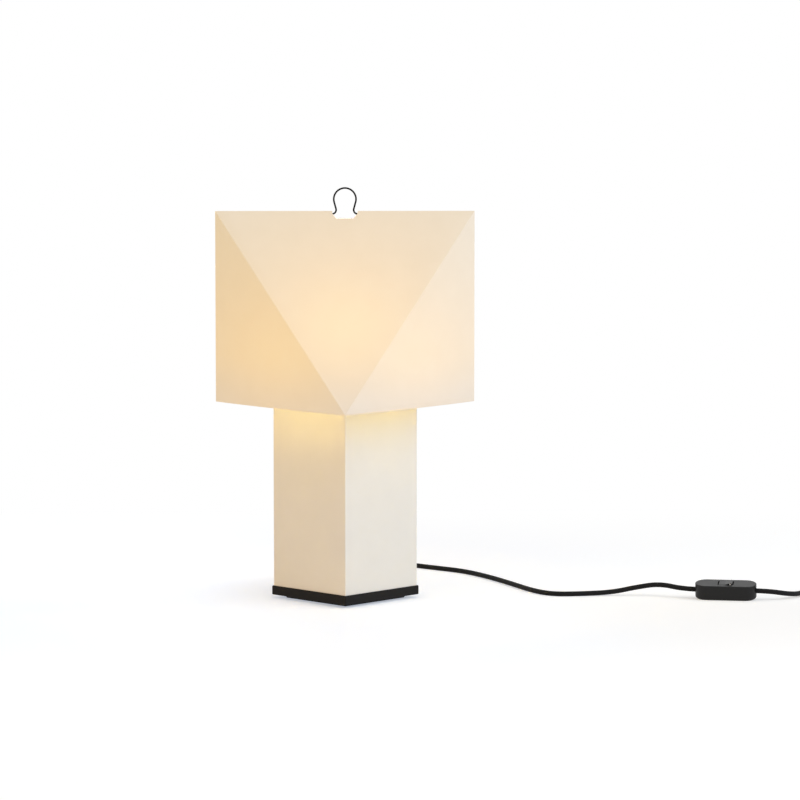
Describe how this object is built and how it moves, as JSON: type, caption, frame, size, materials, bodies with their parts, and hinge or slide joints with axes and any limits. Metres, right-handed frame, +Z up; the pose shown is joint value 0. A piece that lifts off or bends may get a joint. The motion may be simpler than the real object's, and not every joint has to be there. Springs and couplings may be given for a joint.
{
  "type": "table lamp",
  "caption": "Table lamp: folded six-facet paper shade on a wire frame with a lifting loop, square paper-clad column, dark base, textile lead with in-line rocker switch and plug.",
  "frame": {"origin": "on the floor, under the middle of the lamp", "axes": "+Z up, the shade's ridge along X with the switch towards +X, a corner of the shade and of the column towards -Y"},
  "size_m": [0.8259, 0.4276, 0.4969],
  "materials": {
    "shade_paper": "matt folded paper, thin enough to glow",
    "column_paper": "matt paper skin",
    "board": "bare fibreboard",
    "batten": "bare softwood",
    "base_black": "matt black board",
    "pad_black": "matt black foam rubber",
    "screw_steel": "zinc-plated steel",
    "frame_wire": "wire with black lacquer",
    "tube_steel": "threaded steel tube and nut",
    "holder_plastic": "white heat-resistant plastic",
    "holder_insert": "ceramic-like insert",
    "contact_brass": "plain brass",
    "lamp_cap_metal": "rolled thread",
    "lamp_plastic": "white plastic",
    "lamp_opal": "opal globe",
    "lead_textile": "black woven sleeve",
    "black_plastic": "black plastic",
    "rocker_plastic": "black plastic, a little smoother",
    "mark_white": "white inlay",
    "plug_metal": "nickel-plated brass",
    "tie_fabric": "hook-and-loop band"
  },
  "bodies": {
    "base": {"foot_pad": "pad_black", "base_plate": "base_black", "base_screws": "screw_steel", "bottom_board": "board", "column_board_front_right": "board", "column_board_back_right": "board", "column_board_back_left": "board", "column_board_front_left": "board", "column_wrap": "column_paper", "corner_battens": "batten", "top_board": "board", "top_screws": "screw_steel", "shade_seat": "batten", "threaded_tube": "tube_steel", "lock_washer": "tube_steel", "lock_nut": "tube_steel", "holder_cap": "holder_plastic", "terminal_block": "holder_insert", "centre_contact": "contact_brass", "screw_sleeve": "contact_brass", "holder_shell": "holder_plastic", "lamp_tip": "contact_brass", "lamp_cap": "lamp_cap_metal", "lamp_neck": "lamp_plastic", "lamp_globe": "lamp_opal", "inner_lead": "lead_textile", "cord_bush": "black_plastic", "bush_nut": "black_plastic", "saddle_base": "lamp_plastic", "saddle_bar": "lamp_plastic", "saddle_screws": "screw_steel", "cord_lamp_side": "lead_textile", "switch_base": "black_plastic", "switch_cover": "black_plastic", "switch_screws": "screw_steel", "switch_terminals": "contact_brass", "rocker_pin": "screw_steel", "cord_wall_side": "lead_textile", "cord_coil": "lead_textile", "cord_tie": "tie_fabric", "cord_tail": "lead_textile", "plug_relief": "black_plastic", "plug_body": "black_plastic", "plug_pins": "plug_metal"},
    "shade": {"shade_front_facet": "shade_paper", "shade_front_left_facet": "shade_paper", "shade_front_right_facet": "shade_paper", "shade_back_facet": "shade_paper", "shade_back_left_facet": "shade_paper", "shade_back_right_facet": "shade_paper", "ridge_wire": "frame_wire", "upright_left": "frame_wire", "upright_right": "frame_wire", "spoke_left": "frame_wire", "spoke_right": "frame_wire", "spoke_front": "frame_wire", "spoke_back": "frame_wire", "shade_hub": "frame_wire"},
    "rocker": {"switch_rocker": "rocker_plastic", "rocker_mark": "mark_white"}
  },
  "joints": [
    {"name": "shade_lift", "type": "slide", "parent": "base", "child": "shade", "axis": [0, 0, 1], "range_m": [0, 0.12]},
    {"name": "rocker_tilt", "type": "hinge", "parent": "base", "child": "rocker", "pos_m": [0.45885, -0.02136, 0.0159], "axis": [0.171, 0.9698, 0.1736], "range_deg": [0, 16]}
  ]
}
